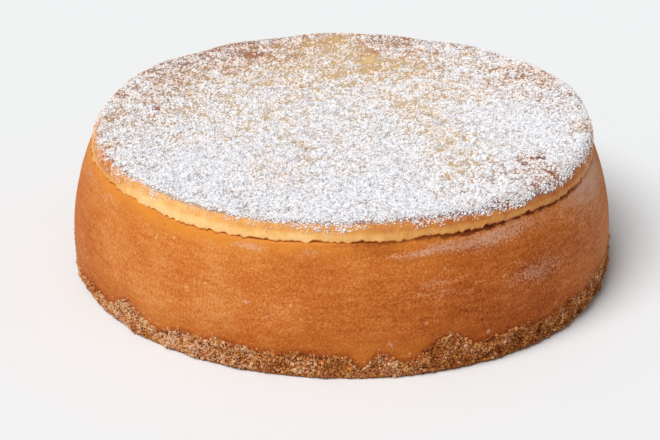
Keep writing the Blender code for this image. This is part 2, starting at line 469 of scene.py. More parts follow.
powdered = add_share(read(tree, "bloom"), 0.42, powder)
powdered = add_share(streak, 0.3, powdered)
for share, code in (
    (read(tree, "glow"), "#DE8A34"),
    (low_down, "#A2490C"),
    (shade_at_crumbs, "#84350F"),
    (pale_fleck, "#E8B880"),
    (dark_speck, "#7A3F18"),
    (ease(powdered, 0.78, 1.06, 0.72), "#D8AF98"),
):
    skin_colour = blend(share, skin_colour, code)
rough = ease(mottle, 0.3, 0.7, 0.72, 0.55)
pores = bump(mottle, 0.6, 0.0003)
finish_with(tree, base_color=skin_colour, roughness=rough, normal=pores, specular_ior_level=0.08)
print("skin finish:", len(tree.nodes), "nodes")

# %% [markdown]
# ## Golden crust and icing sugar
# The top is the same custard, browned by the oven: pale at the lip's lower edge, where it rose and
# stretched last, and golden to brown elsewhere. A number on each point says how thickly the icing sugar
# lies. Under any sugar the crust looks duller, and where much is packed between the lumps it turns pale
# grey: the sugar's own colour with painted shade in the gaps. The finest powder shows no grains, so it is
# a film in this finish, closed where the sugar is thickest and opened by a fine noise elsewhere; its darker
# grey spots are painted shade between the grains. The visible lumps are real shapes, added later.

# %% The crust's finish
crust_finish, tree, place = new_finish("golden_crust_under_icing_sugar")
sugar = read(tree, "sugar")
baked = add_share(noise(place, 2.6, 4.0, 0.65), 0.30, read(tree, "browning"))
bare_colour = ramp(
    baked, (0.18, "#F7D49B"), (0.32, "#FDC880"), (0.50, "#E9A658"), (0.72, "#C8702F"), (1.0, "#7C3A18")
)
dusted_colour = ramp(
    baked, (0.20, "#D2B27C"), (0.36, "#C29B6C"), (0.52, "#A67E6C"), (0.68, "#8E6A62"), (1.0, "#71585A")
)
crust_colour = blend(ease(sugar, 0.0, 0.12, 0.85), bare_colour, dusted_colour)
# Pale grey where the sugar is packed: the sugar's colour with painted shade in the gaps.
crust_colour = blend(ease(sugar, 0.56, 0.82, 0.75), crust_colour, "#C8C4C8")
sifted = ease(noise(place, 1.3, 3.0, 0.6), 0.36, 0.64)
thick = add_share(sugar, 1.0, sifted)
film = ease(thick, 0.92, 1.25, interpolation_type="SMOOTHSTEP")
powder_grain = noise(place, 1.0, 3.0, 0.7)
# The film's darkest stop is painted shade in the gaps between grains.
film_colour = ramp(powder_grain, (0.36, "#C0BBBB"), (0.48, "#E4DFDE"), (0.60, "#FBF9FB"))
crust_top = blend(film, crust_colour, film_colour)
crust_rough = ease(film, 0.0, 1.0, 1.0, 0.5)
film_bump = bump(add_share(film, 0.8, powder_grain), 0.8, 0.0005)
finish_with(tree, base_color=crust_top, roughness=crust_rough, normal=film_bump, specular_ior_level=0.15)
print("crust finish:", len(tree.nodes), "nodes")

# %% [markdown]
# ## Pressed biscuit crumbs
# The base is crushed digestive biscuit bound with butter: matt and golden brown. The core carries a cell
# pattern, so that every cell of about a crumb's size has its own brown, and the gaps between the cells are
# darkened as painted shade. A loose crumb takes its brown from one number kept on its points, and a wide
# noise makes patches of them ruddier. The sugar's lumps take their shade in the same way, and are tinted
# warm where the sugar lies thin, partly the crust's colour in the sugar and partly painted light bounced
# from the crust.

# %% The finishes of crumbs and sugar
core_finish, tree, place = new_finish("pressed_biscuit_crumb_core")
gaps = cells(place, 0.9, "Distance")
core_colour = ramp(cells(place, 0.9, "Color"), (0.1, "#7C3512"), (0.5, "#B06226"), (0.9, "#CF8640"))
# Painted shade: the gaps between the cells are darkened.
core_shade = blend(ease(gaps, 0.45, 0.8, 0.8), core_colour, "#4A1F08")
core_bump = bump(gaps, 0.6, 0.0005, invert=True)
finish_with(tree, base_color=core_shade, roughness=0.9, normal=core_bump, specular_ior_level=0.2)

crumb_finish, tree, place = new_finish("toasted_biscuit_crumbs")
crumb_noise = noise(place, 0.6, 3.0)
toasted = add_share(crumb_noise, 0.35, read(tree, "shade"))
golden = ramp(toasted, (0.12, "#70300C"), (0.45, "#C97D34"), (0.75, "#D4985A"), (1.0, "#DEB484"))
ruddy = ramp(toasted, (0.12, "#62220C"), (0.45, "#B6683C"), (0.75, "#CA865E"), (1.0, "#DAAC8A"))
ruddy_share = ease(noise(place, 5.0, 2.0), 0.42, 0.62, 0.85)
crumb_colour = blend(ruddy_share, golden, ruddy)
crumb_bump = bump(crumb_noise, 0.5, 0.0002)
finish_with(tree, base_color=crumb_colour, roughness=0.85, normal=crumb_bump, specular_ior_level=0.2)

sugar_finish, tree, place = new_finish("sifted_icing_sugar")
lump_light = add_share(noise(place, 1.5, 2.0), 0.9, read(tree, "shade"))
sugar_light = ease(lump_light, 0.40, 1.25)
sugar_white = ramp(sugar_light, (0.0, "#CECBCE"), (0.40, "#EEECEF"), (0.70, "#F9F8FA"))
depth = read(tree, "depth")
# Warm tint where the sugar lies thin: partly the crust's colour in the sugar, partly painted light bounced
# from the crust.
thin_tint = ramp(
    depth, (0.0, "#F6C9A4"), (0.22, "#FFE5D1"), (0.42, "#FFF4EA"), (0.60, "#FFFDFB"), (0.85, "#FAFBFC")
)
sugar_colour = blend(1.0, sugar_white, thin_tint, blend_type="MULTIPLY")
finish_with(tree, base_color=sugar_colour, roughness=0.95, specular_ior_level=0.3)
print("finishes:", [material.name for material in bpy.data.materials if material.use_nodes])

# %% [markdown]
# ## The skin
# The skin is a turned surface from the crumb line up to the seam, closed underneath and above, where
# nothing shows. A bump pattern on the model's own solid would leave the outline smooth, so the points
# themselves are moved: a broad swell, a finger-wide lumpiness, faint level streaks and small pits.

# %% The skin's points
SKIN_ROWS = 84
SKIN_BELOW = 0.6
SKIN_FOOT_RADII = (HIDDEN_RADIUS, 100.0, 112.0)
SKIN_TOP_RADII = (105.4, 103.0, HIDDEN_RADIUS)
SKIN_TOP_HEIGHTS = (54.6, 56.0, 56.8)
SHOWN_RADIUS = 106.0
SKIN_LAYERS = ((0.28, 19, 11), (0.08, 7, 12), (0.035, 2, 13))

low = BASE_HEIGHT - SKIN_BELOW
side_heights = np.linspace(low, SEAM_HEIGHT - 0.3, SKIN_ROWS)
skin_heights = np.concatenate(((low, low, low), side_heights, SKIN_TOP_HEIGHTS))
skin_radii = np.concatenate((SKIN_FOOT_RADII, side_radius(side_heights), SKIN_TOP_RADII))
skin_grid = settle(skin_radii[:, None], skin_heights[:, None])

shown = smoothstep(low, low + 1.5, skin_heights) * (skin_radii > SHOWN_RADIUS)
streaks = 0.03 * lumps(skin_grid * (0.16, 0.16, 1.0), 1.6, 14)
pits = 0.15 * smoothstep(0.60, 0.85, lumps(skin_grid, 2.2, 15))
relief = layered(skin_grid, SKIN_LAYERS) + streaks - pits
skin_grid += outward(skin_grid) * (relief * shown[:, None])[..., None]
print("the skin's relief is", relief.min().round(2), "to", relief.max().round(2), "mm")

# %% [markdown]
# ## What the skin's finish reads
# *Rise* is the share of the way up. *Tone* is how golden the brown is; round the cake it is partly painted
# light and shade. *Glow* is a brighter orange band under the lip and is painted light, strongest on the
# lamp's side and warm in the shaded crease; it shows again where the custard dips into the crumbs. *Bloom* is
# the pale dust of sugar, mostly just under the lip. The *crease shade*, painted shade under the lip at the
# right front and the back, and one *shaded spot*, painted shade near the seam, take away from them.

# %% Numbers for the skin's finish
BLOOMS = (
    (251, 3.5, 52, 2, 0.65), (264, 4, 51, 1.6, 0.38), (209, 6, 49.5, 2.4, 0.4),
    (196, 4, 50.5, 2.5, 0.5), (302, 13, 50, 3.6, 0.78), (286, 7, 48.5, 1.8, 0.52),
    (340, 14, 48, 7, 0.7), (336, 24, 30, 26, 0.30), (337, 13, 52, 2.5, 0.6), (312, 8, 32, 4, 0.45),
    (288, 6, 36, 3, 0.35), (291, 4, 30.5, 2, 0.4), (30, 12, 49, 4, 0.5), (256, 1.2, 27, 2.2, 0.5),
    (251.5, 0.6, 31, 1, 0.8), (279.5, 0.4, 16, 1.3, 1.0), (299.5, 0.5, 14, 1.2, 0.9),
    (95, 10, 50, 3, 0.6), (150, 8, 51, 2.5, 0.6),
)
CREASE_SHADE_RISES = ((309, 31, 0.95), (60, 50, 0.6))
# Tone round the cake: more golden on the lamp's side, darker at the front right, partly painted light and
# shade.
TONE_RISES = (
    (222, 34, 0.10), (303, 24, -0.16), (338, 14, 0.08), (205, 13, -0.07), (80, 50, 0.12),
)
# Glow is painted light: a brighter orange band under the lip, strongest on the lamp's side.
GLOW_RISES = ((222, 60, 0.5), (203, 14, -0.25), (70, 60, 0.3))
SHADED_SPOT_RISES = ((276, 6, 1.0),)
DIP_RISES = ((274, 3, 0.4), (283, 4, 0.3), (236, 6, 0.2))

skin_levels = skin_heights[:, None]
rise = np.clip((skin_levels - BASE_HEIGHT) / (SEAM_HEIGHT - BASE_HEIGHT), 0.0, 1.0) * np.ones(COLUMNS)
# Crease shade: painted shade on the skin under the lip, at the right front and the back.
crease_shade = rises(CREASE_SHADE_RISES) * smoothstep(52.4, 53.4, skin_levels + 0.9 * lumps(skin_grid, 2.6, 19))
# Shaded spot: painted shade near the seam at 276 degrees, taken from tone and glow.
shaded_spot = rises(SHADED_SPOT_RISES) * smoothstep(0.78, 0.94, rise)
tone = rises(TONE_RISES) + 0.06 * lumps(skin_grid, 24.0, 17) - 0.66 * crease_shade - 0.14 * shaded_spot

bloom = np.zeros(skin_grid.shape[:2])
for centre, half_width, height, half_height, strength in BLOOMS:
    bloom += rises(((centre, half_width, strength),)) * bell(skin_levels - height, half_height)
bloom += 0.06 * lumps(skin_grid, 9.0, 16)
bloom *= 1.0 - 0.9 * crease_shade

glow = smoothstep(0.84, 0.98, rise) + 0.25 * smoothstep(0.55, 0.90, rise)
glow *= 0.22 + rises(GLOW_RISES)
glow *= 1.0 + 0.5 * lumps(skin_grid, 5.0, 18)
# Painted light: a warm glow in the shadow just under the lip's edge.
glow += 0.6 * smoothstep(53.2, 54.0, skin_levels)
glow *= np.clip(1.0 - 1.1 * crease_shade, 0.0, 1.0)
glow *= 1.0 - 0.7 * shaded_spot
glow += rises(DIP_RISES) * (1.0 - smoothstep(0.02, 0.30, rise))
print("glow from", glow.min().round(2), "to", glow.max().round(2))

# %% The skin's piece
skin_span = np.linspace(0.0, 1.0, len(skin_heights))
skin = turned_piece("custard_skin", skin_grid, skin_finish, skin_span, strip_map)
keep_rows(skin, "rise", rise)
keep_rows(skin, "tone", tone)
keep_rows(skin, "glow", np.clip(glow, 0.0, 1.0))
keep_rows(skin, "bloom", bloom)
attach(skin, "root")
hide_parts("custard")
print("skin:", len(skin.data.polygons), "faces")

# %% [markdown]
# ## The crust and its lip
# As the cake baked it rose over the tin's rim, and the part that rose is a soft roll with a torn lower edge
# that hangs a little over the skin. The half section is a quarter of an oval from the crest out and down to
# the edge, then it turns under. How far the edge hangs out and how low it is torn change round the cake.
# The top inside the crest is a shallow dish.

# %% The crust's points
LIP_ROWS = 30
TOP_ROWS = 54
RAGGED_HEIGHT = 2.8
HANG_RISES = ((312, 30, 0.5), (60, 50, 0.4), (135, 30, 0.25))
LIP_EDGE_RISES = ((215, 42, -0.10), (254, 11, 0.50), (310, 32, 0.05))
TORN_LAYERS = ((0.22, 7, 22), (0.36, 2.6, 23), (0.50, 1.3, 24))
UNDER_INSETS = (2.4, 1.2, 0.4, 0.05)
UNDER_HEIGHTS = (2.2, 2.0, 1.3, 0.25, -0.35, -0.22)

ring = np.stack((np.cos(np.radians(DEGREES)), np.sin(np.radians(DEGREES)), np.zeros(COLUMNS)), axis=-1)
ring *= SEAM_RADIUS
hang = 0.10 + rises(HANG_RISES) + 0.12 * lumps(ring, 5.0, 21)
torn = layered(ring, TORN_LAYERS) * (1.4 + 0.9 * hang)
even_edge = SEAM_HEIGHT + 0.35 + rises(LIP_EDGE_RISES)
outer = SEAM_RADIUS + hang + 0.2 * lumps(ring, 1.6, 25)
edge = even_edge + torn

turns = np.radians(np.linspace(90.0, 0.0, LIP_ROWS))[:, None]
rolled = (CREST_HEIGHT - even_edge) * np.cos(turns)
near_edge = 1.0 - smoothstep(0.0, RAGGED_HEIGHT, rolled)
lip_radii = CREST_RADIUS + (SEAM_RADIUS + hang - CREST_RADIUS) * np.sin(turns)
lip_radii += near_edge * (outer - SEAM_RADIUS - hang)
lip_heights = even_edge + rolled + near_edge * torn
top_radii = even_rows(*np.linspace(CREST_RADIUS - 1.6, 2.0, TOP_ROWS))
under_radii = np.vstack((even_rows(HIDDEN_RADIUS, 100.0), [outer - inset for inset in UNDER_INSETS]))
under_heights = np.stack([edge + above for above in UNDER_HEIGHTS])
crust_radii = np.vstack((under_radii, lip_radii, top_radii))
crust_heights = np.vstack((under_heights, lip_heights, top_height(top_radii)))
crust_grid = settle(crust_radii, crust_heights)
print("lip hangs out", hang.min().round(2), "to", hang.max().round(2), "mm")

# %% [markdown]
# ## Where the sugar lies
# The sugar was shaken on by hand: thick over the front and the right, thinner towards the back left, and
# gone where the crust has a blister. One function gives its thickness, from 0 to 1, at any place on the
# top. The crust's finish reads it from the points and the lumps are scattered by it, so they agree. A spot
# is written as the place of its middle, its half width, and how much it takes away.

# %% Thickness of the sugar
THIN_SPOTS = (
    (14, 77, 4, 0.26), (12, 66, 5.5, 0.35), (11, 55, 5.5, 0.23), (10, 44, 5, 0.12), (-5, 52, 9, -0.08),
    (22, 30, 8, 0.12), (27, 13, 10, 0.28), (34, -8, 9, 0.20), (40, -24, 11, 0.27), (43, -42, 12, 0.25),
    (46, -61, 11, 0.25), (43, -78, 9, 0.16), (-31, 87, 3.5, 0.28), (-2, 90, 3.5, 0.20),
    (-24, 44, 10, 0.07), (-18, -40, 15, 0.16), (-27, -65, 11, 0.14), (74, -58, 19, 0.28),
    (-98, -32, 7, 0.32), (-83, -37, 9, -0.10), (-81, -14, 11, -0.09), (-101, -8, 9, 0.08),
    (-88, -46, 8, 0.10), (72, 72, 20, -0.07), (-48, 74, 17, 0.12), (-60, 55, 10, 0.12),
    (-37, 59, 7, -0.09), (53, 66, 7, 0.12), (73, 59, 6, 0.14), (100, -14, 8, 0.36), (50, -89, 5, 0.22),
    (18, -41, 11, -0.08), (-38, 22, 14, -0.06), (-4, 88, 28, 0.06), (-88, 26, 18, 0.02),
    (74, 44, 12, 0.03), (76, -8, 22, -0.16), (60, 70, 12, -0.10), (48, 90, 20, -0.10),
    (4, 32, 42, -0.04),
)
BLISTERS = (
    (-43, 74.5, 2.6, 0.30), (-39, 75, 2.4, 0.26), (-22, 73, 2.6, 0.22), (-50, 52, 3.2, 0.25),
    (-72, 60, 3, 0.22), (-80, 10, 1.8, 0.55), (-97, 21, 3.5, 0.18), (15, 79, 1.8, 0.40),
    (65, 37, 3, 0.18), (80, 42, 3.2, 0.20), (76, 52, 2.6, 0.16), (76.2, -44.6, 1.2, 0.80),
    (78.9, -44.1, 1.3, 0.95), (81.5, -44.7, 1.2, 0.80), (80.5, -56.6, 1.2, 0.60),
    (82.8, -58.2, 1.2, 0.80), (84.3, -60.6, 1.2, 0.80), (75.5, -69, 1.6, 0.50), (73.5, -50, 1.6, 0.40),
    (69, -59, 1.6, 0.40), (64, -84, 1.2, 0.60), (60, -86, 1.5, 0.45),
)
SUGAR_EDGE = 105.6
EDGE_RISES = (
    (222, 34, -0.2), (210, 6, 0.6), (220.5, 2.5, -0.9), (225, 3, 0.9), (234, 7, -1.2), (253, 7, -0.7),
    (267, 5, 1.1), (276.5, 2.5, -1.8), (282, 3.5, -0.9), (288, 7, 0.6), (296, 2.5, -0.5), (301, 3, 0.5),
    (308.5, 3.5, 1.2), (316, 26, 1.1), (316, 2.5, -0.6), (332, 3, -0.6), (348, 7, 0.4), (80, 75, 1.4),
)
SHARP_EDGE_RISES = ((318, 24, 0.65), (208, 12, -1.0))
FRONT_COVER = 0.84
LESS_BEHIND = 0.42
COVER_LAYERS = ((0.05, 30, 31), (0.08, 10, 32), (0.15, 4, 33))
BALD_SHARE = 0.13


def bells(spots, places):
    """The sum of round bells on the top: each spot is the place of one, its half width and its height."""
    total = np.zeros(places.shape[:-1])
    for spot_x, spot_y, half_width, height in spots:
        away = (places[..., 0] - spot_x) ** 2 + (places[..., 1] - spot_y) ** 2
        total += height * np.exp(-away / half_width**2)
    return total


def sugar_cover(places):
    """Thickness of sugar: full in front and half of that behind, with random thicker and thinner places of
    three sizes, less the bald patches of the back, the thin spots and the blisters. On the lip's shoulder it
    fades out over a ragged fringe, which is narrow where the edge of the sugar is sharp."""
    x, y = places[..., 0], places[..., 1]
    flat = places * (1.0, 1.0, 0.0)
    cover = FRONT_COVER - LESS_BEHIND * smoothstep(-95.0, 90.0, y - 0.2 * x)
    cover = layered(flat, COVER_LAYERS, cover)
    bald = smoothstep(0.25, 0.75, lumps(flat, 6.0, 36)) * smoothstep(-30.0, 70.0, y)
    cover = cover - BALD_SHARE * bald - bells(THIN_SPOTS, places) - bells(BLISTERS, places)
    degrees = np.degrees(np.arctan2(y, x)) % 360.0
    ragged = layered(flat, ((0.4, 9.0, 34), (0.7, 2.2, 35)), SUGAR_EDGE + rises(EDGE_RISES, degrees))
    fringe = 1.0 - rises(SHARP_EDGE_RISES, degrees)
    beyond = smoothstep(ragged - 2.4 * fringe, ragged + 1.5 * fringe, np.hypot(x, y))
    return np.clip(cover, 0.0, 1.0) * (1.0 - beyond)


middle = np.linspace(-70.0, 70.0, 29)
trial = sugar_cover(np.stack(np.meshgrid(middle, middle, 0.0), axis=-1))
print("sugar over the middle:", trial.min().round(2), "to", trial.max().round(2))

# %% [markdown]
# ## Relief and browning of the crust
# The top swells gently, rises in a roll before the lip with a dip behind it, and sinks a little under every
# thin spot and blister. It is pale in the middle, browner near the rim and over the blisters, and golden in
# a few wide spots; along the back rim it is browner still, which is painted shade. The lip is paler on the
# lamp's side, which is painted light, and palest in a band along its torn edge; that band is wider and
# paler on the lamp's side, painted light too.

# %% The crust's relief
BLISTER_DEPTH = 0.35
SPOT_DEPTH = 0.8

reach = np.hypot(crust_grid[..., 0], crust_grid[..., 1])
outside = np.ones(crust_heights.shape)
outside[: len(under_heights)] = 0.0
swell = layered(crust_grid * (1.0, 1.0, 0.0), ((0.35, 26.0, 41), (0.16, 9.0, 42)))
swell = layered(crust_grid, ((0.07, 3.0, 43),), swell)
swell *= 0.35 + 0.65 * (1.0 - smoothstep(98.0, 104.0, reach))
roll = 0.30 * bell(reach - 103.4, 1.7) - 0.30 * bell(reach - 98.6, 2.2)
dimples = BLISTER_DEPTH * bells(BLISTERS, crust_grid) + SPOT_DEPTH * bells(THIN_SPOTS, crust_grid)
fine = 0.08 * lumps(crust_grid, 1.5, 44) * (1.0 - 0.6 * smoothstep(100.0, 104.0, reach))
relief = (swell + roll + fine - dimples) * outside
crust_grid += outward(crust_grid) * relief[..., None]
print("the crust's relief is", relief.min().round(2), "to", relief.max().round(2), "mm")

# %% Numbers for the crust's finish
GOLDEN_SPOTS = (
    (-5, 80, 28, 0.20), (22, 35, 16, 0.10), (33, 0, 18, 0.12), (46, -42, 16, 0.14),
    (76, -57, 14, -0.12), (-52, 72, 22, -0.10),
)
SUNLIT_RISES = (
    (235, 52, 1.0), (226, 12, 0.24), (238, 9, 0.12), (257, 9, 0.08), (267, 7, 0.15), (60, 60, 0.6),
    (150, 30, 0.6), (188, 10, 0.2), (205, 11, -0.45),
)
LIP_BROWN = 0.59
LIP_BROWN_RISES = ((337, 15, 0.03),)
EDGE_LINE_BROWN = 0.42
EDGE_LINE_SHADE_RISES = ((255, 22, 0.10), (315, 42, 0.30), (60, 50, 0.20))
LEAST_SUGAR = 0.06

top_brown = 0.05 + 0.30 * smoothstep(50.0, 96.0, reach) + 0.12 * lumps(crust_grid, 14.0, 45)
top_brown -= bells(GOLDEN_SPOTS, crust_grid)
# Painted shade: browner, so greyer under the sugar, along the back rim.
top_brown += 0.06 * smoothstep(96.0, 99.0, reach) * smoothstep(20.0, 70.0, crust_grid[..., 1])
browned = [(x, y, 1.2 * size, 0.6 * min(depth, 0.6)) for x, y, size, depth in BLISTERS]
top_brown += bells(browned, crust_grid)

lip_share = np.sin(turns) * np.ones(COLUMNS)
share_down = np.vstack((np.ones(under_radii.shape), lip_share, 0.0 * top_radii))
# Sunlit: painted light, the lip paler on the lamp's side and its pale band wider and paler there.
sunlit = rises(SUNLIT_RISES)
pale_band = (0.13 + 0.05 * sunlit) * smoothstep(0.94 - 0.10 * sunlit, 0.995, share_down)
lip_brown = LIP_BROWN - 0.24 * sunlit - pale_band
lip_brown = lip_brown + 0.07 * lumps(crust_grid, 3.5, 46) + rises(LIP_BROWN_RISES)
on_lip = smoothstep(0.35, 0.70, share_down)
brown = top_brown * (1.0 - on_lip) + lip_brown * on_lip
# The lip's underside and torn edge row: browner, most where the crease shade lies, partly baked colour and
# partly painted shade.
brown[: len(under_heights) + 1] = EDGE_LINE_BROWN + rises(EDGE_LINE_SHADE_RISES)

caked = np.maximum(rises(SHARP_EDGE_RISES), 0.0)
bare_lip = smoothstep(0.35 + 0.60 * caked, 0.70 + 0.40 * caked, share_down)
sugar = np.maximum(sugar_cover(crust_grid), LEAST_SUGAR) * outside * (1.0 - bare_lip)
print("browning from", brown.min().round(2), "to", brown.max().round(2))

# %% The crust's piece
crust_span = np.linspace(1.0, 0.0, len(crust_heights))
crust = turned_piece("top_crust", crust_grid, crust_finish, crust_span, disc_map)
keep_rows(crust, "browning", np.clip(brown, 0.0, 1.0))
keep_rows(crust, "sugar", sugar)
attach(crust, "root")
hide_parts("custard")
print("crust:", len(crust.data.polygons), "faces")

# %% [markdown]
# ## The crumb core
# The base is one pressed slab, so its core is one closed turned surface, rough at the side and flat
# underneath, where it rests. Its upper edge climbs and drops by a millimetre or so, as pressed crumbs do.

# %% The core's points and piece
CORE_ROWS = 36
CORE_FOOT = 0.9
CORE_LAYERS = ((0.90, 3.6, 53), (0.35, 1.5, 54), (0.45, 7, 55))
CORE_INSET = -0.3

climb = layered(ring, ((0.9, 5.0, 51), (0.7, 1.8, 52)), 0.4)
core_share = np.linspace(0.0, 1.0, CORE_ROWS)[:, None]
core_side = CORE_FOOT + (BASE_HEIGHT + climb - CORE_FOOT) * core_share
foot_rows = even_rows(HIDDEN_RADIUS, FOOT_RADIUS - 1.6, FOOT_RADIUS - 0.5)
core_radii = np.vstack((foot_rows, side_radius(core_side), even_rows(FOOT_RADIUS - 1.2, HIDDEN_RADIUS)))
core_heights = np.vstack((
    even_rows(0.0, 0.0, 0.25),
    core_side,
    core_side[-1:] - 0.2,
    even_rows(BASE_HEIGHT - 1.0),
))
core_grid = settle(core_radii, core_heights)
rough_rows = smoothstep(0.4, 1.6, core_heights) * (core_radii > FOOT_RADIUS - 0.4)
knobbly = layered(core_grid, CORE_LAYERS, CORE_INSET)
core_grid += outward(core_grid) * (knobbly * rough_rows)[..., None]

core_span = np.linspace(0.0, 1.0, len(core_heights))
core = turned_piece("crumb_core", core_grid, core_finish, core_span, strip_map)
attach(core, "root")
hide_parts("crumb_base")
print("crumb core:", len(core.data.polygons), "faces")

# %% [markdown]
# ## Scattering small lumps
# Crumbs and sugar are thousands of small irregular lumps. Each kind is one piece, in which every lump has
# its own size, turn and shape. A lump is a ring or two of points between two poles: eight to twenty-four
# faces are enough at this size, and keep the whole light.

# %% One lump, and many
LOWEST = 0.02


def lump_shape(rings, sides):
    """A ball as points and triangles: rings at even angles from pole to pole, each turned half a side on."""
    polar = np.pi * (np.arange(rings) + 1.0)[:, None] / (rings + 1.0)
    turn = 2.0 * np.pi * (np.arange(sides)[None, :] + 0.5 * np.arange(rings)[:, None]) / sides
    body = np.stack(
        (np.sin(polar) * np.cos(turn), np.sin(polar) * np.sin(turn), np.cos(polar) + 0.0 * turn), axis=-1
    )
    points = np.vstack(((0.0, 0.0, 1.0), body.reshape(-1, 3), (0.0, 0.0, -1.0)))
    side = np.arange(sides)
    following = (side + 1) % sides
    faces = [np.stack((0 * side, 1 + side, 1 + following), axis=-1)]
    for ring_index in range(rings - 1):
        upper, lower = 1 + ring_index * sides, 1 + (ring_index + 1) * sides
        faces.append(np.stack((upper + side, lower + side, upper + following), axis=-1))
        faces.append(np.stack((upper + following, lower + side, lower + following), axis=-1))
    last = 1 + (rings - 1) * sides
    faces.append(np.stack((last + side, 0 * side + len(points) - 1, last + following), axis=-1))
    return points, np.vstack(faces)


def scatter(name, shape, places, sizes, roughness, material, seed, shades=None, squash=1.0):
    """Copies of one lump, each stretched along three directions, roughened point by point, turned at random,
    squashed in height and moved to its place, but never below the floor. A size is half a lump's width. Each
    one keeps its shade, given or random, on its points, and has a tile of the flat map to itself."""
    draw = np.random.default_rng(seed)
    points, faces = shape
    count = len(places)
    stretch = draw.uniform(0.65, 1.25, (count, 1, 3))
    grown = points[None] * stretch * (1.0 + roughness * draw.uniform(-1.0, 1.0, (count, len(points), 1)))
    spin = draw.normal(size=(count, 4))
    w, x, y, z = (spin / np.linalg.norm(spin, axis=1, keepdims=True)).T
    turned = np.stack((
        np.stack((1 - 2 * (y * y + z * z), 2 * (x * y - w * z), 2 * (x * z + w * y)), axis=-1),
        np.stack((2 * (x * y + w * z), 1 - 2 * (x * x + z * z), 2 * (y * z - w * x)), axis=-1),
        np.stack((2 * (x * z - w * y), 2 * (y * z + w * x), 1 - 2 * (x * x + y * y)), axis=-1),
    ), axis=1)
    where = np.einsum("nij,nvj->nvi", turned, grown) * sizes[:, None, None]
    where = where * (1.0, 1.0, squash) + places[:, None, :]
    where[..., 2] = np.maximum(where[..., 2], LOWEST)
    every = faces[None] + (np.arange(count) * len(points))[:, None, None]

    tiles = int(math.ceil(math.sqrt(count)))
    corner = np.stack((np.arange(count) % tiles, np.arange(count) // tiles), axis=-1)[:, None, None, :]
    inside = np.array(((0.15, 0.15), (0.85, 0.15), (0.5, 0.85)))
    flat = np.broadcast_to((corner + inside) / tiles, (count, len(faces), 3, 2)).reshape(-1, 2)
    piece = add_piece(name, where.reshape(-1, 3), every.reshape(-1, 3).tolist(), material, flat, False)
    own = draw.uniform(0.0, 1.0, count) if shades is None else shades
    keep(piece, "shade", np.repeat(own, len(points)))
    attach(piece, "root")
    print(name, count, "lumps,", len(piece.data.polygons), "faces")
    return piece


# %% [markdown]
# ## Loose crumbs on the base
# Crumbs of one to two millimetres stand out of the core, finer ones fill between them, and some climb onto
# the skin where the base was pressed up the side of the tin. How golden or dark they are changes round the
# cake, partly as painted light and shade.

# %% Crumbs
CORE_FIRST = 3
COARSE_COUNT = 3000
FINE_COUNT = 14400
CLIMBING_COUNT = 1600
CLIMBING_DARKER = 0.22
# Painted light and shade on the crumbs: paler on the lamp's side, darker at the front right and in a hollow
# at 228 degrees.
CRUMB_SHADE_RISES = (
    (196, 9, -0.10), (228.5, 4, -0.16), (231, 17, 0.30), (246, 12, 0.14), (296, 18, -0.16),
    (332, 22, -0.09),
)
core_out = outward(core_grid)
draw = np.random.default_rng(61)


def crumb_places(count, stand_out):
    """Places spread evenly on the rough side of the core, moved out of it by so many millimetres."""
    rows = CORE_FIRST + (CORE_ROWS - 1) * draw.uniform(0.02, 1.0, count)
    columns = draw.uniform(0.0, COLUMNS, count)
    return between(core_grid, rows, columns) + stand_out * between(core_out, rows, columns)


def crumb_shades(places):
    """How pale each crumb is: partly by chance, partly in patches a few crumbs wide, more so near the top of
    the base, and with the rises round the cake, which paint light and shade: paler on the lamp's side,
    darker towards the front right and in one shaded hollow at the left."""
    degrees = np.degrees(np.arctan2(places[:, 1], places[:, 0])) % 360.0
    patch = layered(places, ((0.44, 2.6, 64), (0.26, 6.0, 65))) + 0.20 * (places[:, 2] / BASE_HEIGHT - 0.6)
    chance = 0.58 * (draw.uniform(0.0, 1.0, len(places)) - 0.5)
    return 0.53 + chance + patch + rises(CRUMB_SHADE_RISES, degrees)


places = crumb_places(COARSE_COUNT, 0.0)
shades = crumb_shades(places)
sizes = 0.46 + 0.58 * draw.beta(1.4, 3.0, len(places))
scatter("coarse_crumbs", lump_shape(2, 6), places, sizes, 0.34, crumb_finish, 62, shades)

on_core = crumb_places(FINE_COUNT, 0.28)
climb_rows = 3.0 + draw.exponential(2.2, CLIMBING_COUNT)
climb_columns = draw.uniform(0.0, COLUMNS, CLIMBING_COUNT)
places = np.vstack((on_core, between(skin_grid, climb_rows, climb_columns)))
sizes = 0.22 + 0.26 * draw.beta(1.5, 2.5, len(places))
shades = crumb_shades(places)
shades[-CLIMBING_COUNT:] -= CLIMBING_DARKER
scatter("fine_crumbs", lump_shape(1, 6), places, sizes, 0.3, crumb_finish, 63, shades)

# %% [markdown]
# ## Lumps of icing sugar
# Sifted icing sugar falls as a fine powder, which is in the crust's finish, and as soft lumps. Here come
# the lumps, in four kinds from about half a millimetre to two across, scattered where the sugar lies and
# nowhere else. They huddle together, and lie closer and smaller over the rolled edge.

# %% Sugar
TOP_FIRST = len(under_heights)
DRAWN_RADIUS = 106.9
LAST_RADIUS = 106.2
CHANCE = 0.4
HUDDLE = 0.95
CLOSER_AT_EDGE = 2.8
SMALLER_AT_EDGE = 0.42
SQUASH = 0.75
SUGAR_KINDS = (
    ("sugar_dust", lump_shape(1, 4), 17000, 1.7, 0.05, 0.31, 0.50, 71),
    ("sugar_specks", lump_shape(1, 4), 20000, 1.3, 0.08, 0.46, 0.67, 81),
    ("sugar_grains", lump_shape(1, 4), 19000, 1.1, 0.10, 0.56, 0.84, 74),
    ("sugar_clumps", lump_shape(1, 6), 7000, 1.1, 0.12, 0.67, 1.13, 77),
)
row_radii = crust_radii[TOP_FIRST:, 0][::-1]
row_numbers = np.arange(TOP_FIRST, len(crust_heights))[::-1].astype(float)
crust_out = outward(crust_grid)


